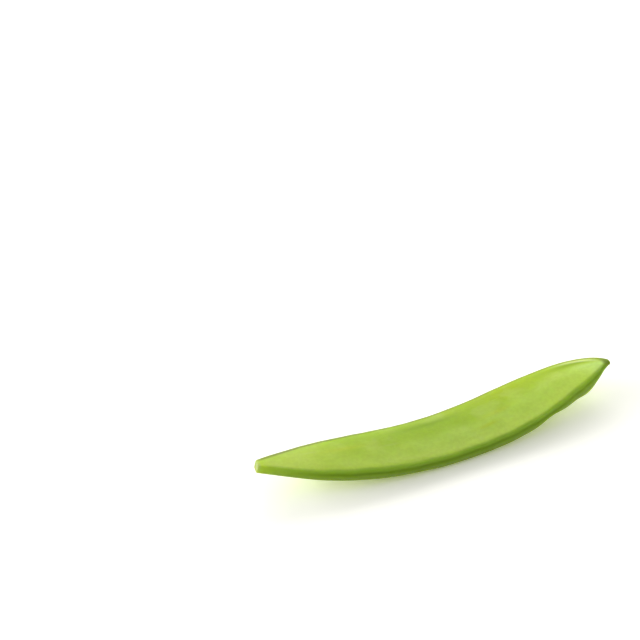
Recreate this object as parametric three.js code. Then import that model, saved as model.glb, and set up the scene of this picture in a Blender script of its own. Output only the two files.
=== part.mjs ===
// Snow pea pod, picked and lying on its side: one closed solid, in millimetres, +Z up.
// +X runs from the stem end to the beak, and -Y is the ventral side, where the peas are attached.
// Z = 0 is the surface that the pod lies on, and the origin is under the middle of the pod.
import * as THREE from "three";
import { NURBSCurve } from "three/addons/curves/NURBSCurve.js";

// How the pod lies: its middle plane's height at the lowest place, and how far its bowed ends rise.
const MIDDLE_HEIGHT = 2.2;
const LOWEST_X = 3;
const STEM_RISE = 6.5;
const BEAK_RISE = 6.5;
const VENTRAL_RISE = 0.09; // extra height for each millimetre towards the ventral side
const RESTING_FLAT = 0.25; // how much the soft underside gives where it touches the surface

// Half thicknesses at the thick ventral suture, the thin dorsal one, the cut stub and the beak.
const VENTRAL_RIM = 1.4;
const DORSAL_RIM = 0.62;
const STUB_RIM = 1.05;
const BEAK_RIM = 0.75;
const RIM_ROUNDING = 0.5;

// The two valves swell between the sutures, and a row of young peas swells them a little more.
const VALVE_SWELL = 1.0;
const PEA_COUNT = 9;
const FIRST_PEA = 0.19;
const LAST_PEA = 0.86;
const PEA_ACROSS = -0.36;
const PEA_RADIUS = 2.5;
const PEA_SWELL = 0.3;

// Where along the pod its body starts and ends, as shares of its length.
const STEM_TAPER = 0.3;
const BEAK_TAPER = 0.24;

// Mesh density.
const STATIONS = 84;
const VALVE_POINTS = 11;
const RIM_POINTS = 3;

// The sutures seen from above, as control points of smooth curves from the stem end to the beak.
const VENTRAL_PLAN = [
  [-43, -0.5], [-40, -1.7], [-32, -5], [-20, -8.4], [-1, -9.6], [16.5, -8.6], [27.5, -5.8],
  [34.5, -3.7], [38.7, -2.4], [41, -0.5], [42.4, -0.1],
];
const DORSAL_PLAN = [
  [-43, 1], [-40, 2], [-31.5, 5], [-18, 6.2], [-3.5, 5.6], [12.5, 7], [28.5, 8.4], [40.4, 4.5],
  [42.5, 0.3],
];

const STEM_X = VENTRAL_PLAN[0][0];
const BEAK_X = VENTRAL_PLAN.at(-1)[0];

// The pod is bowed, so its middle plane rises in a parabola towards each end.
function planeHeight(x, y) {
  const stemward = x < LOWEST_X;
  const share = (x - LOWEST_X) / ((stemward ? STEM_X : BEAK_X) - LOWEST_X);
  return MIDDLE_HEIGHT + (stemward ? STEM_RISE : BEAK_RISE) * share * share - VENTRAL_RISE * y;
}

// A cubic curve that is drawn towards the control points, and starts and ends on the end ones.
function sutureCurve(plan) {
  const points = plan.map(([x, y]) => new THREE.Vector3(x, y, planeHeight(x, y)));
  const spans = points.length - 3;
  const inner = Array.from({ length: spans + 1 }, (_, i) => i);
  const knots = [0, 0, 0, ...inner, spans, spans, spans];
  return new NURBSCurve(3, knots, points);
}

const ventralSuture = sutureCurve(VENTRAL_PLAN);
const dorsalSuture = sutureCurve(DORSAL_PLAN);

function middleAt(t) {
  return ventralSuture.getPoint(t).add(dorsalSuture.getPoint(t)).multiplyScalar(0.5);
}

// The pod's own directions at share t of its length: along, across towards dorsal, and up.
function frameAt(t) {
  const step = 1e-3;
  const along = middleAt(Math.min(t + step, 1)).sub(middleAt(Math.max(t - step, 0))).normalize();
  const across = dorsalSuture.getPoint(t).sub(ventralSuture.getPoint(t));
  const halfWidth = across.length() / 2;
  across.normalize();
  const up = new THREE.Vector3().crossVectors(along, across).normalize();
  return { middle: middleAt(t), halfWidth, along, across, up };
}

// 0 at both ends of the pod and 1 over its body.
function bodyShare(t) {
  const { smoothstep } = THREE.MathUtils;
  return smoothstep(t, 0, STEM_TAPER) * (1 - smoothstep(t, 1 - BEAK_TAPER, 1));
}

const peaCentres = Array.from({ length: PEA_COUNT }, (_, i) => {
  const t = THREE.MathUtils.lerp(FIRST_PEA, LAST_PEA, i / (PEA_COUNT - 1));
  const { middle, halfWidth, across } = frameAt(t);
  return middle.addScaledVector(across, PEA_ACROSS * halfWidth);
});

function peaSwell(point) {
  const bumps = peaCentres.map((centre) => Math.exp(-((point.distanceTo(centre) / PEA_RADIUS) ** 2)));
  return PEA_SWELL * bumps.reduce((sum, bump) => sum + bump, 0);
}

// One closed section at share t: over the upper valve, round the dorsal rim, back along the lower
// valve and round the ventral rim. u goes across the pod, from -1 at ventral to +1 at dorsal.
function sectionAt(t) {
  const { middle, halfWidth, across, up } = frameAt(t);
  const body = bodyShare(t);
  const endRim = t < 0.5 ? STUB_RIM : BEAK_RIM;
  const ventralRim = THREE.MathUtils.lerp(endRim, VENTRAL_RIM, body);
  const dorsalRim = THREE.MathUtils.lerp(endRim, DORSAL_RIM, body);

  const onPlane = (u) => middle.clone().addScaledVector(across, u * halfWidth);
  const halfThickness = (u) => {
    const rim = THREE.MathUtils.lerp(ventralRim, dorsalRim, (u + 1) / 2);
    const dome = 1 - u * u;
    return rim + dome * (body * VALVE_SWELL + (0.4 + 0.6 * body) * peaSwell(onPlane(u)));
  };
  const valve = (side) => (u) => onPlane(u).addScaledVector(up, side * halfThickness(u));
  const rim = (side, halfHeight) =>
    Array.from({ length: RIM_POINTS }, (_, i) => {
      const angle = Math.PI * (0.5 - (i + 1) / (RIM_POINTS + 1));
      const height = halfHeight * Math.sign(angle) * Math.sqrt(Math.abs(Math.sin(angle)));
      const reach = RIM_ROUNDING * Math.sqrt(Math.cos(angle));
      return onPlane(side).addScaledVector(up, side * height).addScaledVector(across, side * reach);
    });

  const shares = Array.from({ length: VALVE_POINTS + 2 }, (_, i) =>
    -Math.cos((Math.PI * i) / (VALVE_POINTS + 1)));
  return [
    ...shares.map(valve(1)),
    ...rim(1, dorsalRim),
    ...shares.toReversed().map(valve(-1)),
    ...rim(-1, ventralRim),
  ];
}

// Rings that close an end: copies of its section, each shrunk to `size` and moved `out` outwards.
function closingRings(section, outward, steps) {
  const centre = section.reduce((sum, point) => sum.add(point), new THREE.Vector3());
  centre.divideScalar(section.length);
  return steps.map(({ size, out }) =>
    section.map((point) => centre.clone().lerp(point, size).addScaledVector(outward, out)));
}

const CUT_STUB = [{ size: 0.94, out: 0.12 }, { size: 0.6, out: 0.2 }, { size: 0.02, out: 0.2 }];
const BLUNT_BEAK = [{ size: 0.8, out: 0.3 }, { size: 0.45, out: 0.5 }, { size: 0.02, out: 0.6 }];

function podGeometry() {
  const sections = Array.from({ length: STATIONS + 1 }, (_, i) => sectionAt(i / STATIONS));
  const rings = [
    ...closingRings(sections[0], frameAt(0).along.negate(), CUT_STUB).toReversed(),
    ...sections,
    ...closingRings(sections[STATIONS], frameAt(1).along, BLUNT_BEAK),
  ];
  const perRing = rings[0].length;
  const points = rings.flat();
  const lowest = Math.min(...points.map(({ z }) => z)) + RESTING_FLAT;
  const positions = points.flatMap(({ x, y, z }) => [x, y, Math.max(z - lowest, 0)]);

  const index = [];
  for (let ring = 0; ring < rings.length - 1; ring++) {
    for (let i = 0; i < perRing; i++) {
      const a = ring * perRing + i;
      const b = ring * perRing + ((i + 1) % perRing);
      index.push(a, a + perRing, b, b, a + perRing, b + perRing);
    }
  }
  // A fan of triangles closes the last small ring at each end.
  const lastRing = (rings.length - 1) * perRing;
  for (let i = 1; i < perRing - 1; i++) {
    index.push(0, i, i + 1);
    index.push(lastRing, lastRing + i + 1, lastRing + i);
  }

  const geometry = new THREE.BufferGeometry();
  geometry.setAttribute("position", new THREE.Float32BufferAttribute(positions, 3));
  geometry.setIndex(index);
  geometry.computeVertexNormals();
  geometry.computeBoundingBox();
  const centre = geometry.boundingBox.getCenter(new THREE.Vector3());
  geometry.translate(-centre.x, -centre.y, 0);
  return geometry;
}

const podSkin = new THREE.MeshStandardMaterial({ color: 0xa6c348, roughness: 0.45, metalness: 0 });
const pod = new THREE.Mesh(podGeometry(), podSkin);
pod.name = "pod";

const snowPeaPod = new THREE.Group();
snowPeaPod.add(pod);

export default snowPeaPod;
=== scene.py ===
import math

import bpy
import numpy as np
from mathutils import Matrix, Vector, noise


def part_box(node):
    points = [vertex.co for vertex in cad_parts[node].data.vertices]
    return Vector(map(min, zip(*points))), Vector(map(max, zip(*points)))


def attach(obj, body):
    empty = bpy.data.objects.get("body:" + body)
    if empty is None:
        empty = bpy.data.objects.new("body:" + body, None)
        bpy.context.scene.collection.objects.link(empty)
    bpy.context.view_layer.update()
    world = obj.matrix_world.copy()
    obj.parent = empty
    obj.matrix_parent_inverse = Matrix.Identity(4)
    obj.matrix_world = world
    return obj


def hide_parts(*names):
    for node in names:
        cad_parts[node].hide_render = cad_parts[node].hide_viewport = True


# A snow pea pod lying on its side. +X runs from the cut stem end to the beak, -Y is the ventral
# side, where the peas hang, and Z = 0 is the surface that it lies on.
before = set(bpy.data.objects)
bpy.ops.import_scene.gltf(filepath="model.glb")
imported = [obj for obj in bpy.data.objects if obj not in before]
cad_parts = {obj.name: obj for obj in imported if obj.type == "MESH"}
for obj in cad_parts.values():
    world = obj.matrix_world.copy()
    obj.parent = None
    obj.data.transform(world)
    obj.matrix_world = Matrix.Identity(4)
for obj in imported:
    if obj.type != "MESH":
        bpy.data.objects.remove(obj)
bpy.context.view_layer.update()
podLow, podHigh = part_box("pod")
mm = 0.001
podLength = (podHigh[0] - podLow[0]) / mm

podShape = {  # millimetres, and shares of the pod's length from 0 at the stem to 1 at the beak
    "middleHeight": 2.2,
    "lowestX": 3.0,
    "endRise": 6.5,  # the pod is bowed, so both ends stand off the surface
    "ventralRise": 0.09,  # extra height for each millimetre towards the ventral side
    "restingSoftness": 0.06,  # how roundly the soft underside meets the surface
    "ventralPlan": [
        (-43, -0.5), (-40, -1.7), (-32, -5), (-20, -8.4), (-1, -9.6), (16.5, -8.6), (27.5, -5.8),
        (34.5, -3.7), (38.7, -2.4), (41, -0.5), (42.4, -0.1),
    ],
    "dorsalPlan": [
        (-43, 1), (-40, 2), (-31.5, 5), (-18, 6.2), (-3.5, 5.6), (12.5, 7), (28.5, 8.4),
        (40.4, 4.5), (42.5, 0.3),
    ],
    "dorsalBulge": (0.885, 0.05, 0.4),  # place, width and millimetres
    "ventralRim": 1.4,  # half thicknesses
    "dorsalRim": 0.62,
    "stubRim": 1.05,
    "beakRim": 0.58,
    "rimRounding": 0.5,
    "rimSquareness": 0.62,
    "lowerLipWaves": [(0.6, 0.04, -0.5), (0.785, 0.055, 0.5)],  # place, width, change
    "lowerLipFade": 3,  # how soon those waves die out across the valve
    "valveSwell": 1.0,
    "stemTaper": 0.3,
    "beakTaper": 0.24,
    "stubSlant": 10.0,  # degrees that the cut is turned from square
    "stubSlantEnd": 0.04,
    # each step shrinks the end section to a share of its size and moves it out by millimetres
    "cutStub": [
        (0.985, 0.05), (0.95, 0.1), (0.9, 0.13), (0.82, 0.14), (0.7, 0.12), (0.55, 0.09),
        (0.38, 0.07), (0.2, 0.06),
    ],
    "bluntBeak": [
        (0.94, 0.12), (0.84, 0.28), (0.72, 0.4), (0.58, 0.5), (0.44, 0.56), (0.3, 0.59),
        (0.15, 0.6),
    ],
    "peas": {
        "count": 9,
        "first": 0.19,
        "last": 0.86,
        "across": -0.36,  # from -1 at the ventral edge to 1 at the dorsal one
        "radius": 2.5,
        "swell": 0.4,
        "endShare": 0.4,  # how much of the swelling is left at the pod's ends
        "sizes": (0.75, 1.15),
        "wander": 0.35,  # how unevenly the peas sit
        "seed": 4,
    },
    "edges": {
        "lipHeight": 0.075,  # a low, soft ridge along each side of the ventral suture
        "lipAt": 0.9,
        "lipWidth": 1.1,
        "grooveDepth": 0.13,  # the seam between the two lips
        "grooveWidth": 0.5,
        "stringHeight": 0.04,
        "stringWidth": 0.12,
        "dorsalSeam": 0.15,  # how deep the dorsal seam is beside the ventral one
        "keelDip": 0.07,  # the valves pinch in just before the dorsal keel
        "keelAt": 1.1,
        "keelWidth": 0.6,
        "wander": 0.16,  # how far the edges stray from a fair curve
        "wanderLength": 9.0,
        "ripple": 0.07,  # and in shorter waves
        "rippleLength": 3.5,
        "seeds": (7, 9, 8),  # the wander, the ripple and the change in width
    },
    "relief": {
        "swellHeight": 0.08,
        "swellLength": 9.0,
        "swellSeed": 1,
        "rumpleHeight": 0.035,
        "rumpleLength": 3.2,
        "rumpleStretch": 2.6,
        "rumpleEndShare": 0.3,
        "rumpleSeeds": (2, 3),  # upper and lower valve
    },
    "stations": 560,
    "valvePoints": 62,
    "dorsalPoints": 13,
    "ventralPoints": 30,
}

noiseStep = (17.3, 5.1, 9.7)  # how far apart two seeds start in the noise
noiseGain = 1.6  # brings the noise to about -1 to 1
peaSteps = 2000  # how finely the pod's length is searched for the place of a pea
offRim = 9  # the rim height of a point that isn't on an edge


def smoothStep(x, low, high):
    share = np.clip((x - low) / (high - low), 0, 1)
    return share * share * (3 - 2 * share)


def bell(x, centre, width):
    return np.exp(-(((x - centre) / width) ** 2))


def mix(a, b, share):
    return a + (b - a) * share


def waves(points, length, seed):
    # smooth seeded unevenness from about -1 to 1, with that wavelength
    offset = Vector([seed * step for step in noiseStep])
    flat = points.reshape(-1, points.shape[-1]) / length
    values = [noise.noise(Vector(p) + offset) * noiseGain for p in flat]
    return np.array(values).reshape(points.shape[:-1])


def rampUp(t, start, end):
    return (t - start) / (end - start) if end != start else np.zeros_like(t)


def sutureLine(plan, t):
    # a cubic curve drawn towards the plan's points, from the first one to the last
    count = len(plan)
    knots = np.clip(np.arange(count + 4) - 3, 0, count - 3) / (count - 3)
    t = np.clip(t, 0, 1 - 1e-9)
    weights = [((t >= knots[i]) & (t < knots[i + 1])).astype(float) for i in range(count + 3)]
    for degree in (1, 2, 3):
        weights = [
            rampUp(t, knots[i], knots[i + degree]) * weights[i]
            + rampUp(t, knots[i + degree + 1], knots[i + 1]) * weights[i + 1]
            for i in range(count + 3 - degree)
        ]
    return np.array(weights).T @ np.array(plan, float)


def planeHeight(x, y):
    s = podShape
    stemX, beakX = s["ventralPlan"][0][0], s["ventralPlan"][-1][0]
    reach = np.where(x < s["lowestX"], stemX - s["lowestX"], beakX - s["lowestX"])
    share = (x - s["lowestX"]) / reach
    return s["middleHeight"] + s["endRise"] * share**2 - s["ventralRise"] * y


def unit(v):
    return v / np.linalg.norm(v, axis=-1, keepdims=True)


def podFrame(t):
    # middle, half width and the along, across and up directions at each share t
    ventral, dorsal = (
        np.column_stack([line, planeHeight(line[:, 0], line[:, 1])])
        for line in (sutureLine(podShape["ventralPlan"], t), sutureLine(podShape["dorsalPlan"], t))
    )
    middle = (ventral + dorsal) / 2
    halfWidth = np.linalg.norm(dorsal - ventral, axis=1) / 2
    across = unit(dorsal - ventral)
    along = unit(np.gradient(middle, axis=0))
    return middle, halfWidth, along, across, unit(np.cross(along, across))


def bodyShare(t):
    # 0 at the pod's ends and 1 along its body
    s = podShape
    return smoothStep(t, 0, s["stemTaper"]) * (1 - smoothStep(t, 1 - s["beakTaper"], 1))


def peaBumps(points):
    peas = podShape["peas"]
    rng = np.random.default_rng(peas["seed"])
    middle, halfWidth, along, across, up = podFrame(np.linspace(0, 1, peaSteps + 1))
    total = np.zeros(points.shape[:-1])
    for share in np.linspace(peas["first"], peas["last"], peas["count"]):
        i = int(share * peaSteps)
        centre = middle[i] + across[i] * peas["across"] * halfWidth[i]
        centre = centre + along[i] * rng.normal(0, peas["wander"])
        size = rng.uniform(*peas["sizes"])
        distance = np.linalg.norm(points - centre, axis=-1)
        total += size * np.exp(-((distance / (peas["radius"] * math.sqrt(size))) ** 2))
    return total


def podRings():
    # the pod's sections, and where on the pod each of their points is
    s, e, r = podShape, podShape["edges"], podShape["relief"]
    t = np.linspace(0, 1, s["stations"])
    middle, halfWidth, along, across, up = podFrame(t)
    body = bodyShare(t)[:, None]
    wanderSeed, rippleSeed, widthSeed = e["seeds"]
    wander = waves(middle, e["wanderLength"], wanderSeed) * e["wander"]
    wander = wander + waves(middle, e["rippleLength"], rippleSeed) * e["ripple"]
    at, width, bulge = s["dorsalBulge"]
    bulge = bulge * bell(t, at, width)
    middle = middle + across * (wander * body[:, 0] + bulge / 2)[:, None]
    widening = waves(middle, e["wanderLength"], widthSeed) * e["wander"]
    halfWidth = halfWidth + widening * body[:, 0] / 2 + bulge / 2

    endRim = np.where(t < 0.5, s["stubRim"], s["beakRim"])[:, None]
    ventralRim = mix(endRim, s["ventralRim"], body)
    dorsalRim = mix(endRim, s["dorsalRim"], body)
    u = -np.cos(np.linspace(0, math.pi, s["valvePoints"]))[None, :]
    fromVentral = (1 + u) * halfWidth[:, None]
    fromDorsal = (1 - u) * halfWidth[:, None]
    plane = middle[:, None] + across[:, None] * (u * halfWidth[:, None])[..., None]

    # how much thinner or thicker the lower lip is than the upper one
    lipWave = sum(change * bell(t, at, width) for at, width, change in s["lowerLipWaves"])[:, None]
    dome = 1 - u**2
    peaSwell = mix(s["peas"]["endShare"], 1, body) * s["peas"]["swell"] * peaBumps(plane)
    thickness = mix(ventralRim, dorsalRim, (1 + u) / 2)
    thickness = thickness + dome * (body * s["valveSwell"] + peaSwell)
    thickness = thickness + body * e["lipHeight"] * bell(fromVentral, e["lipAt"], e["lipWidth"])
    thickness = thickness - body * e["keelDip"] * bell(fromDorsal, e["keelAt"], e["keelWidth"])
    swell = waves(plane, r["swellLength"], r["swellSeed"]) * r["swellHeight"]
    # rumples lie slantwise, like the veins
    acrossRumples = plane[..., 0] + plane[..., 1]
    alongRumples = (plane[..., 0] - plane[..., 1]) / r["rumpleStretch"]
    slanted = np.stack([acrossRumples, alongRumples, np.zeros_like(acrossRumples)], -1)

    def valve(side, seed):
        rumple = waves(slanted, r["rumpleLength"], seed) * r["rumpleHeight"]
        height = thickness + dome * (side * swell + mix(r["rumpleEndShare"], 1, body) * rumple)
        if side < 0:
            height = height + ventralRim * lipWave * ((1 - u) / 2) ** s["lowerLipFade"]
        return plane + up[:, None] * (side * height)[..., None]

    def edge(side, points, halfHeight, seamShare, lowerWave=0):
        angle = np.linspace(math.pi / 2, -math.pi / 2, points + 2)[None, 1:-1]
        lift = np.sign(angle) * np.abs(np.sin(angle)) ** s["rimSquareness"]
        out = s["rimRounding"] * np.cos(angle) ** s["rimSquareness"]
        height = halfHeight * lift * np.where(side * lift < 0, 1 + lowerWave, 1)
        seam = e["stringHeight"] * bell(height, 0, e["stringWidth"])
        seam = seam - e["grooveDepth"] * bell(height, 0, e["grooveWidth"])
        reach = halfWidth[:, None] + out + seamShare * body * seam
        at = middle[:, None] + across[:, None] * (side * reach)[..., None]
        return at + up[:, None] * (side * height)[..., None], side * height

    dorsalEdge, dorsalHeight = edge(1, s["dorsalPoints"], dorsalRim, e["dorsalSeam"])
    ventralEdge, ventralHeight = edge(-1, s["ventralPoints"], ventralRim, 1, lipWave)
    upper, lower = (valve(side, seed) for side, seed in zip((1, -1), r["rumpleSeeds"]))
    rings = np.concatenate([upper, dorsalEdge, lower[:, ::-1], ventralEdge], axis=1)
    # the stem was cut a little slantwise
    slant = math.tan(math.radians(s["stubSlant"])) * (1 - smoothStep(t, 0, s["stubSlantEnd"]))
    aside = np.einsum("ijk,ik->ij", rings - middle[:, None], across)
    rings = rings + along[:, None] * (slant[:, None] * aside)[..., None]

    def around(upper, dorsal, lower, ventral):
        parts = (upper, dorsal, lower[:, ::-1], ventral)
        sizes = (s["valvePoints"], s["dorsalPoints"], s["valvePoints"], s["ventralPoints"])
        spread = [np.broadcast_to(part, (len(t), size)) for part, size in zip(parts, sizes)]
        return np.concatenate(spread, axis=1)

    far = 2 * halfWidth[:, None]
    dorsalDepth = np.abs(dorsalHeight) - dorsalRim
    ventralDepth = np.abs(ventralHeight) - ventralRim
    place = {
        "t": around(t[:, None], t[:, None], t[:, None], t[:, None]),
        "across": around(u, 1, u, -1),
        "fromVentral": around(fromVentral, far, fromVentral, ventralDepth),
        "fromDorsal": around(fromDorsal, dorsalDepth, fromDorsal, far),
        "rimHeight": around(offRim, dorsalHeight, np.array([[offRim]]), ventralHeight),
    }
    return rings, along, place


print("pod rings")
rings, along, place = podRings()
ringSize = rings.shape[1]


def closing(section, outward, steps):
    centre = section.mean(0)
    shrunk = [centre + (section - centre) * size + outward * out for size, out in steps]
    return shrunk, centre + outward * steps[-1][1]


stubRings, stubPole = closing(rings[0], -along[0], podShape["cutStub"])
beakRings, beakPole = closing(rings[-1], along[-1], podShape["bluntBeak"])
layers = np.concatenate([np.array(stubRings)[::-1], rings, np.array(beakRings)])
points = np.concatenate([layers.reshape(-1, 3), [stubPole, beakPole]])


def withEnds(values):
    # carries a value given on the sections over the closed ends, one number for each point
    stub = np.repeat(values[:1], len(stubRings), axis=0)
    beak = np.repeat(values[-1:], len(beakRings), axis=0)
    flat = np.concatenate([stub, values, beak]).ravel()
    return np.concatenate([flat, [values[0].mean(), values[-1].mean()]])


def settle(points):
    # as high as the frame has it, with the soft underside pressed flat on the surface
    lowX, highX = points[:, 0].min(), points[:, 0].max()
    lowY, highY = points[:, 1].min(), points[:, 1].max()
    points = points * mm
    points[:, 0] += (podLow[0] + podHigh[0] - (lowX + highX) * mm) / 2
    points[:, 1] += (podLow[1] + podHigh[1] - (lowY + highY) * mm) / 2
    points[:, 2] += podHigh[2] - points[:, 2].max()
    softness = podShape["restingSoftness"] * mm
    points[:, 2] = (points[:, 2] + np.sqrt(points[:, 2] ** 2 + softness**2)) / 2
    points[:, 2] -= points[:, 2].min()
    return points


def podFaces(layerCount):
    i = np.arange(ringSize)
    j = (i + 1) % ringSize
    faces = []
    for k in range(layerCount - 1):
        near, far = k * ringSize, (k + 1) * ringSize
        faces += np.column_stack([near + i, far + i, far + j, near + j]).tolist()
    stub, beak = layerCount * ringSize, layerCount * ringSize + 1
    last = (layerCount - 1) * ringSize
    faces += [[stub, a, b] for a, b in zip(i.tolist(), j.tolist())]
    faces += [[beak, last + b, last + a] for a, b in zip(i.tolist(), j.tolist())]
    return faces


print("pod mesh")
mesh = bpy.data.meshes.new("snowPeaPod")
mesh.from_pydata(settle(points).tolist(), [], podFaces(len(layers)))
mesh.update()
for polygon in mesh.polygons:
    polygon.use_smooth = True
pod = bpy.data.objects.new("snowPeaPod", mesh)
bpy.context.scene.collection.objects.link(pod)


skin = {
    "zones": {  # where each finish shows: shares of the length, or millimetres from an edge
        "paleStem": (0.03, 0.3),
        "paleBeak": (0.955, 1.0),
        "deepMiddle": (0.47, 0.2),
        # painted shade: colour darkened over the far, dorsal half of the valves
        "farShadeShare": 0.8,
        "farShadeAcross": (-0.3, 0.7),  # from -1 at the ventral edge to 1 at the dorsal one
        "farShadeStart": (0.1, 0.3),
        # painted glow: a yellower patch towards the dorsal side near the beak, light shining
        # through the thin wall painted into the colour
        "paintedGlowBack": (0.76, 0.18),
        "paintedGlowAcross": (-0.1, 0.75),
        # painted light: a paler strip on the top valve beside the ventral crease, lifting the
        # shade there
        "paintedCreaseLight": (2.2, 2.4),
        # the ventral side paler, partly its own colour and partly painted light that lifts the
        # shade there
        "paleAndLitBelly": (0.08, 0.48),
        "paleAndLitBellyAcross": (-0.55, 0.12),
        # paler near the beak on the ventral side, partly its own colour and partly painted light
        "beakPaleAndLit": (0.8, 0.93),
        "beakPaleAndLitAcross": (-0.35, 0.25),
        "bandEdge": (-0.35, 0.6),
        "bandWander": 0.2,
        "bandWanderLength": 5.0,
        "bandWanderSeed": 11,
        "bandFade": (0.0, 0.12),
        "bandStemShare": 0.7,  # how much of the band is left at the stem
        "seam": (0.18, 0.45),  # millimetres above the middle of the edge
        # painted shade in the groove between the two lips of the ventral edge
        "seamStart": (0.02, 0.2),
        "beakBand": (0.78, 0.92),
        # painted light: the lower lip greyer, as lit by light bounced up from the floor
        "lowerLip": (0.15, 0.75),  # millimetres below the middle of the edge
        "keelLine": (0.25, 0.75),
        # painted highlight: a pale strip just inside the dorsal keel near the beak
        "keelHighlight": (1.35, 0.85),
        "keelHighlightEnd": (0.92, 0.05),
        "brightStub": (0.008, 0.045),
        "stubOffBand": 0.6,  # how far the band and the keel keep the bright stub off them
        "stubOffKeel": 0.8,
        "cutEdge": (0.0, 0.01),
        "dryCorner": (0.005, 0.003),
        "dryCornerAcross": (0.7, 1.1),
        "darkBeak": (0.96, 0.99),
    },
    "blemishesGlintsAndShade": {  # share of the length, share across from -1 to 1, millimetres along and across
        "yellowFlecks": [(0.565, -0.19, 3.2, 0.9), (0.5, -0.5, 2.0, 0.6), (0.25, 0.2, 4.0, 1.2)],
        # pale spots, partly painted glints
        "paleScuffsAndGlints": [(0.337, -0.05, 1.3, 0.5), (0.765, -0.26, 3.4, 2.2), (0.16, 0.35, 2.2, 0.7)],
        # dark patches; the two near the beak are painted shade on the far side
        "darkPatchesAndShade": [(0.88, 0.42, 6.0, 3.0), (0.94, 0.4, 4.6, 2.4), (0.47, 0.5, 5.0, 1.5)],
    },
    "green": (0.36, 0.515, 0.034, 1),
    "deepGreen": (0.315, 0.48, 0.029, 1),
    "paleGreen": (0.5, 0.615, 0.13, 1),
    # painted glow of light through the thin wall
    "paintedGlowGreen": (0.355, 0.47, 0.004, 1),
    # painted light beside the crease
    "creaseLitGreen": (0.58, 0.73, 0.15, 1),
    # paler ventral green, partly painted light
    "paleAndLitBellyGreen": (0.58, 0.76, 0.16, 1),
    # paler beak green, partly painted light
    "beakPaleAndLit": (0.56, 0.72, 0.28, 1),
    # the ventral band's green, deeper than the valves and partly painted shade
    "bandGreenAndShade": (0.194, 0.364, 0.058, 1),
    # painted shade for the groove
    "seamShadeGreen": (0.018, 0.128, 0.014, 1),
    # painted bounce light from the floor
    "lipBounceGreen": (0.15, 0.235, 0.095, 1),
    "keelOlive": (0.145, 0.165, 0.08, 1),
    # painted highlight green
    "keelHighlightGreen": (0.66, 0.7, 0.32, 1),
    "stubYellow": (0.45, 0.575, 0.07, 1),
    "beakOlive": (0.075, 0.125, 0.04, 1),
    "dryBrown": (0.12, 0.13, 0.07, 1),
    "cutCream": (0.36, 0.41, 0.19, 1),
    "veinGreen": (0.45, 0.57, 0.07, 1),
    "fleckYellow": (0.5, 0.55, 0.03, 1),
    # dark patch green, partly painted shade
    "patchAndShadeGreen": (0.18, 0.32, 0.01, 1),
    # pale spot green, partly painted glints
    "scuffAndGlintGreen": (0.5, 0.6, 0.16, 1),
    # what is laid over the veined green, one after another: a colour, its mask and its share
    "layers": [
        # paler ventral side, partly painted light
        ("paleAndLitBellyGreen", "paleAndLitBelly", 0.75),
        # paler ventral side near the beak, partly painted light
        ("beakPaleAndLit", "beakPaleAndLit", 0.7),
        # painted light beside the crease
        ("creaseLitGreen", "paintedCreaseLight", 0.6),
        ("fleckYellow", "yellowFlecks", 0.5),
        # pale spots, partly painted glints
        ("scuffAndGlintGreen", "paleScuffsAndGlints", 0.5),
        # dark patches, partly painted shade
        ("patchAndShadeGreen", "darkPatchesAndShade", 0.8),
        # painted highlight along the keel near the beak
        ("keelHighlightGreen", "keelHighlight", 1.0),
        ("keelOlive", "keel", 1.0),
        # the ventral band, partly painted shade
        ("bandGreenAndShade", "band", 1.0),
        # the dark groove colour also darkens the band towards the beak
        ("seamShadeGreen", "beakBand", 0.4),
        # painted bounce light on the lower lip
        ("lipBounceGreen", "lowerLip", 1.0),
        # painted shade in the groove
        ("seamShadeGreen", "seam", 1.0),
        ("beakOlive", "beak", 1.0),
        ("stubYellow", "brightStub", 1.0),
        ("cutCream", "cutFace", 1.0),
        ("dryBrown", "dryCorner", 0.7),
    ],
    "mottleSize": 6.0,  # millimetres
    "mottleShare": 0.42,
    "mottleLight": (0.5, 0.68),  # noise values between which the lighter patches set in
    "mottleDark": (0.48, 0.3),  # and the darker ones
    "veinCell": (3.4, 1.15),
    "veinSlant": 50,  # degrees from the pod's length
    "veinLine": (0.02, 0.13),  # shares of a cell
    "veinShare": 0.16,
    "veinHeight": 0.01,
    "veinStray": 1.6,  # millimetres that the veins stray from straight lines
    "veinStrayScale": 0.45,  # bends for each millimetre
    "speckleSize": 0.9,
    "speckleNoise": (0.35, 0.65),
    "speckle": (0.955, 1.045),  # how much the specks darken and lighten
    "grainSize": 0.25,
    "grainHeight": 0.0012,
    "roughness": (0.5, 0.58),
    "roughnessNoise": (0.3, 0.7),
    "shine": 0.1,
    "glow": 0.9,
    "glowReach": (0.75, 1, 0.12),
    "glowDepth": 0.004,
    "through": 0.33,  # how much light passes through the walls
    "throughGreen": (0.92, 1.0, 0.05, 1),
}


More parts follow.
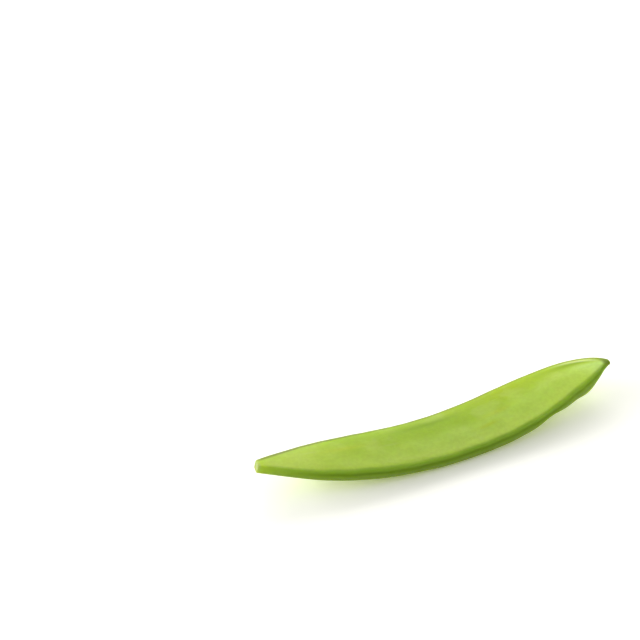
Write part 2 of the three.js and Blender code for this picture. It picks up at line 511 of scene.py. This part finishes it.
def finishMasks():
    z = skin["zones"]
    t, u, rimHeight = place["t"], place["across"], place["rimHeight"]
    fromVentral, fromDorsal = place["fromVentral"], place["fromDorsal"]
    stray = waves(rings * [1, 0, 0], z["bandWanderLength"], z["bandWanderSeed"]) * z["bandWander"]
    band = 1 - smoothStep(fromVentral + stray, *z["bandEdge"])
    keel = 1 - smoothStep(fromDorsal, *z["keelLine"])
    # painted shade over the dorsal half of the valves
    farShade = z["farShadeShare"] * smoothStep(u, *z["farShadeAcross"])
    farShade = farShade * smoothStep(t, *z["farShadeStart"])
    stub = 1 - smoothStep(t, *z["brightStub"])
    masks = {
        "pale": np.maximum(1 - smoothStep(t, *z["paleStem"]), smoothStep(t, *z["paleBeak"])),
        "deep": np.maximum(bell(t, *z["deepMiddle"]), farShade),
        # painted glow of light through the wall, towards the dorsal side near the beak
        "paintedGlow": bell(t, *z["paintedGlowBack"]) * smoothStep(u, *z["paintedGlowAcross"]),
        "band": band * mix(z["bandStemShare"], 1, smoothStep(t, *z["bandFade"])),
        # painted light on the top valve beside the ventral crease
        "paintedCreaseLight": bell(fromVentral, *z["paintedCreaseLight"]) * bodyShare(t),
        # paler ventral side along most of the pod, partly painted light
        "paleAndLitBelly": smoothStep(t, *z["paleAndLitBelly"]) * (1 - smoothStep(u, *z["paleAndLitBellyAcross"])),
        # paler ventral side near the beak, partly painted light
        "beakPaleAndLit": smoothStep(t, *z["beakPaleAndLit"]) * (1 - smoothStep(u, *z["beakPaleAndLitAcross"])),
        # painted shade in the groove along the middle of the band
        "seam": band * bell(rimHeight + stray, *z["seam"]) * smoothStep(t, *z["seamStart"]),
        "beakBand": band * smoothStep(t, *z["beakBand"]),
        # painted bounce light on the lower lip of the band
        "lowerLip": band * smoothStep(-rimHeight, *z["lowerLip"]),
        "keel": keel,
        # painted highlight just inside the dorsal keel near the beak
        "keelHighlight": bell(fromDorsal, *z["keelHighlight"]) * bell(t, *z["keelHighlightEnd"]),
        "brightStub": stub * (1 - z["stubOffBand"] * band) * (1 - z["stubOffKeel"] * keel),
        "dryCorner": bell(t, *z["dryCorner"]) * smoothStep(u, *z["dryCornerAcross"]),
        "beak": smoothStep(t, *z["darkBeak"]),
    }
    onUpperValve = np.arange(ringSize) < podShape["valvePoints"]
    # spots on the top valve: yellow flecks, pale spots that are partly painted glints, and dark
    # patches that are partly painted shade
    for name, spots in skin["blemishesGlintsAndShade"].items():
        masks[name] = 0
        for share, side, sizeAlong, sizeAcross in spots:
            apart = (u - side) * fromVentral.max() / 2
            spot = bell(t, share, sizeAlong / podLength) * bell(apart, 0, sizeAcross)
            masks[name] = masks[name] + spot * onUpperValve
    masks = {name: withEnds(values) for name, values in masks.items()}
    cut = withEnds(1 - smoothStep(t, *z["cutEdge"]))
    cut[: len(stubRings) * ringSize] = 1
    cut[-2] = 1  # the middle of the cut face
    masks["cutFace"] = cut
    return masks


def writeMasks():
    for name, values in finishMasks().items():
        attribute = mesh.attributes.new(name, "FLOAT", "POINT")
        attribute.data.foreach_set("value", values.astype(np.float32))
    # millimetres along and around the skin, for the veins
    side = np.where(np.arange(ringSize) < ringSize / 2, 1, -1)
    columns = [withEnds(place["t"] * podLength), withEnds(place["fromVentral"] * side)]
    vectors = np.column_stack([*columns, np.zeros(len(points))])
    skinPlace = mesh.attributes.new("skinPlace", "FLOAT_VECTOR", "POINT")
    skinPlace.data.foreach_set("vector", vectors.astype(np.float32).ravel())


print("finish masks")
writeMasks()


class ShaderNodes:
    # a short way to add nodes to a material or to the world
    def __init__(self, tree):
        self.nodes = tree.nodes
        self.links = tree.links

    def add(self, kind, settings=None, **inputs):
        made = self.nodes.new(kind)
        for name, value in (settings or {}).items():
            setattr(made, name, value)
        for name, value in inputs.items():
            self.put(made.inputs[name.replace("_", " ")], value)
        return made

    def put(self, socket, value):
        if isinstance(value, bpy.types.NodeSocket):
            self.links.new(value, socket)
        else:
            socket.default_value = value

    def mask(self, name):
        return self.add("ShaderNodeAttribute", {"attribute_name": name}).outputs["Fac"]

    def noise(self, where, scale, detail):
        return self.add("ShaderNodeTexNoise", Vector=where, Scale=scale, Detail=detail)

    def math(self, operation, a, b):
        made = self.add("ShaderNodeMath", {"operation": operation})
        self.put(made.inputs[0], a)
        self.put(made.inputs[1], b)
        return made.outputs[0]

    def ramp(self, value, source, target=(0.0, 1.0)):
        made = self.add("ShaderNodeMapRange", {"interpolation_type": "SMOOTHSTEP"}, Value=value)
        for name, limit in zip(("From Min", "From Max", "To Min", "To Max"), (*source, *target)):
            made.inputs[name].default_value = limit
        return made.outputs[0]

    def tint(self, under, over, share):
        made = self.add("ShaderNodeMix", {"data_type": "RGBA"})
        self.put(made.inputs[0], share)
        self.put(made.inputs[6], under)
        self.put(made.inputs[7], over)
        return made.outputs[2]

    def mixShaders(self, first, second, share):
        made = self.add("ShaderNodeMixShader")
        self.put(made.inputs[0], share)
        self.put(made.inputs[1], first.outputs[0])
        self.put(made.inputs[2], second.outputs[0])
        return made.outputs[0]


def veinMask(n):
    # a slanting net of fine veins
    skinPlace = n.add("ShaderNodeAttribute", {"attribute_name": "skinPlace"}).outputs["Vector"]
    stray = n.noise(skinPlace, skin["veinStrayScale"], 2.0)
    strayed = n.add("ShaderNodeVectorMath", {"operation": "MULTIPLY_ADD"})
    n.put(strayed.inputs[0], stray.outputs["Color"])
    n.put(strayed.inputs[1], (skin["veinStray"], skin["veinStray"], 0))
    n.put(strayed.inputs[2], skinPlace)
    slant = (0, 0, math.radians(-skin["veinSlant"]))
    turned = n.add("ShaderNodeMapping", Vector=strayed.outputs[0], Rotation=slant)
    cellLong, cellWide = skin["veinCell"]
    cells = (1 / cellLong, 1 / cellWide, 1)
    squeezed = n.add("ShaderNodeMapping", Vector=turned.outputs[0], Scale=cells)
    net = n.add(
        "ShaderNodeTexVoronoi", {"feature": "DISTANCE_TO_EDGE", "voronoi_dimensions": "2D"},
        Vector=squeezed.outputs[0], Scale=1.0,
    )
    vein = n.ramp(net.outputs["Distance"], skin["veinLine"], (1.0, 0.0))
    plain = n.math("SUBTRACT", 1.0, n.math("MAXIMUM", n.mask("band"), n.mask("keel")))
    return n.math("MULTIPLY", vein, plain)


def skinColour(n, mottle, vein, fine):
    # the green of the valves, with everything that is laid over it
    # the deep mask holds a darker middle and painted shade on the dorsal half
    colour = n.tint(skin["green"], skin["deepGreen"], n.mask("deep"))
    colour = n.tint(colour, skin["paleGreen"], n.mask("pale"))
    colour = n.tint(colour, skin["paintedGlowGreen"], n.mask("paintedGlow"))
    lightened = n.ramp(mottle, skin["mottleLight"], (0.0, skin["mottleShare"]))
    colour = n.tint(colour, skin["paleGreen"], lightened)
    darkened = n.ramp(mottle, skin["mottleDark"], (0.0, skin["mottleShare"]))
    colour = n.tint(colour, skin["deepGreen"], darkened)
    colour = n.tint(colour, skin["veinGreen"], n.math("MULTIPLY", vein, skin["veinShare"]))
    for name, mask, share in skin["layers"]:
        colour = n.tint(colour, skin[name], n.math("MULTIPLY", n.mask(mask), share))
    speckle = n.ramp(fine, skin["speckleNoise"], skin["speckle"])
    freckled = n.add("ShaderNodeVectorMath", {"operation": "SCALE"}, Scale=speckle)
    n.put(freckled.inputs[0], colour)
    return freckled.outputs[0]


def podSkin():
    material = bpy.data.materials.new("podSkin")
    material.use_nodes = True
    n = ShaderNodes(material.node_tree)
    shader = n.nodes["Principled BSDF"]

    where = n.add("ShaderNodeTexCoord").outputs["Object"]
    mottle = n.noise(where, 1 / (skin["mottleSize"] * mm), 3.0).outputs["Fac"]
    fine = n.noise(where, 1 / (skin["speckleSize"] * mm), 3.0).outputs["Fac"]
    grain = n.noise(where, 1 / (skin["grainSize"] * mm), 2.0).outputs["Fac"]
    vein = veinMask(n)
    n.put(shader.inputs["Base Color"], skinColour(n, mottle, vein, fine))
    n.put(shader.inputs["Roughness"], n.ramp(fine, skin["roughnessNoise"], skin["roughness"]))

    veinBump = n.add("ShaderNodeBump", Height=vein, Distance=skin["veinHeight"] * mm)
    grainBump = n.add(
        "ShaderNodeBump", Height=grain, Distance=skin["grainHeight"] * mm,
        Normal=veinBump.outputs[0],
    )
    n.put(shader.inputs["Normal"], grainBump.outputs[0])
    shader.inputs["Specular IOR Level"].default_value = skin["shine"]
    shader.inputs["Subsurface Weight"].default_value = skin["glow"]
    shader.inputs["Subsurface Radius"].default_value = skin["glowReach"]
    shader.inputs["Subsurface Scale"].default_value = skin["glowDepth"]
    through = n.add("ShaderNodeBsdfTranslucent", Color=skin["throughGreen"])
    mixed = n.mixShaders(shader, through, skin["through"])
    n.put(n.nodes["Material Output"].inputs["Surface"], mixed)
    return material


print("pod skin")
mesh.materials.append(podSkin())
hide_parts("pod")
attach(pod, "root")

print("camera")
cameraSetup = {
    "azimuth": -23.7,  # degrees; 0 looks along +Y
    "elevation": 40.0,
    "distance": 0.6,
    "lens": 144.2,
    "clipStart": 0.01,
    "aim": (-6.93 * mm, 48.64 * mm, 0),
}


def lookFrom(thing, away, distance, aim=(0, 0, 0)):
    # sets a camera or a lamp that far away in that direction, facing its aim
    thing.location = Vector(aim) + away * distance
    thing.rotation_euler = (-away).to_track_quat("-Z", "Y").to_euler()
    bpy.context.scene.collection.objects.link(thing)


def makeCamera():
    c = cameraSetup
    a, e = math.radians(c["azimuth"]), math.radians(c["elevation"])
    away = Vector((math.sin(a) * math.cos(e), -math.cos(a) * math.cos(e), math.sin(e)))
    data = bpy.data.cameras.new("camera")
    data.lens = c["lens"]
    data.clip_start = c["clipStart"]
    camera = bpy.data.objects.new("camera", data)
    lookFrom(camera, away, c["distance"], c["aim"])
    bpy.context.scene.camera = camera


makeCamera()

print("floor and light")
studio = {
    "floorSize": 3.0,
    "floorColour": (0.8, 0.8, 0.77, 1),
    "floorSeen": (1.25, 1.24, 1.17, 1),  # how pale the floor looks where it is seen
    "fade": (0.25, 1.2),  # metres from the pod over which the floor fades into plain white
    "worldStrength": 0.34,  # how much light the room gives
    "worldSeen": 1.0,  # how bright its background looks, and 1 is white
    "lampDistance": 1.3,
    "softboxes": {  # azimuth from +Y towards +X and elevation in degrees, metres, watts
        "leftSoftbox": {"azimuth": -70, "elevation": 16, "size": (1.4, 0.6), "power": 21.5},
        "backSoftbox": {"azimuth": 17, "elevation": 24, "size": (1.6, 1.0), "power": 12.8},
        "rightSoftbox": {"azimuth": 84, "elevation": 14, "size": (1.4, 0.6), "power": 11.0},
        "frontSoftbox": {"azimuth": 175, "elevation": 36, "size": (1.6, 1.0), "power": 1.2},
    },
}


def seenRays(n):
    # 1 for the rays that show the background: from the camera, in a reflection or through glass
    rays = n.add("ShaderNodeLightPath").outputs
    # light that only glows through the pod's walls counts as diffuse too, and is left out
    throughGlass = n.math("SUBTRACT", rays["Is Transmission Ray"], rays["Is Diffuse Ray"])
    mirrored = n.math("MAXIMUM", rays["Is Glossy Ray"], throughGlass)
    return n.math("MAXIMUM", rays["Is Camera Ray"], mirrored)


def makeFloor():
    size = studio["floorSize"]
    floorMesh = bpy.data.meshes.new("floor")
    corners = [(-size, -size, 0), (size, -size, 0), (size, size, 0), (-size, size, 0)]
    floorMesh.from_pydata(corners, [], [(0, 1, 2, 3)])
    floor = bpy.data.objects.new("floor", floorMesh)
    bpy.context.scene.collection.objects.link(floor)
    material = bpy.data.materials.new("paleSurface")
    material.use_nodes = True
    n = ShaderNodes(material.node_tree)
    n.nodes.clear()
    seen = seenRays(n)
    paleness = n.tint(studio["floorColour"], studio["floorSeen"], seen)
    surface = n.add("ShaderNodeBsdfDiffuse", Color=paleness)
    # far from the pod the camera sees plain white
    apart = n.add("ShaderNodeVectorMath", {"operation": "LENGTH"})
    n.put(apart.inputs[0], n.add("ShaderNodeNewGeometry").outputs["Position"])
    fade = n.math("MULTIPLY", n.ramp(apart.outputs["Value"], studio["fade"]), seen)
    mixed = n.mixShaders(surface, n.add("ShaderNodeEmission"), fade)
    n.add("ShaderNodeOutputMaterial", Surface=mixed)
    floorMesh.materials.append(material)


def makeWorld():
    world = bpy.data.worlds.new("paleRoom")
    bpy.context.scene.world = world
    world.use_nodes = True
    n = ShaderNodes(world.node_tree)
    background = n.nodes["Background"]
    background.inputs["Color"].default_value = (1, 1, 1, 1)
    strength = n.add(
        "ShaderNodeMapRange", Value=seenRays(n),
        To_Min=studio["worldStrength"], To_Max=studio["worldSeen"],
    )
    n.put(background.inputs["Strength"], strength.outputs[0])


def makeSoftboxes():
    for name, box in studio["softboxes"].items():
        light = bpy.data.lights.new(name, "AREA")
        light.shape = "RECTANGLE"
        light.size, light.size_y = box["size"]
        light.energy = box["power"]
        a, e = math.radians(box["azimuth"]), math.radians(box["elevation"])
        away = Vector((math.sin(a) * math.cos(e), math.cos(a) * math.cos(e), math.sin(e)))
        lookFrom(bpy.data.objects.new(name, light), away, studio["lampDistance"])


makeFloor()
makeWorld()
makeSoftboxes()
bpy.context.scene.view_settings.view_transform = "Standard"
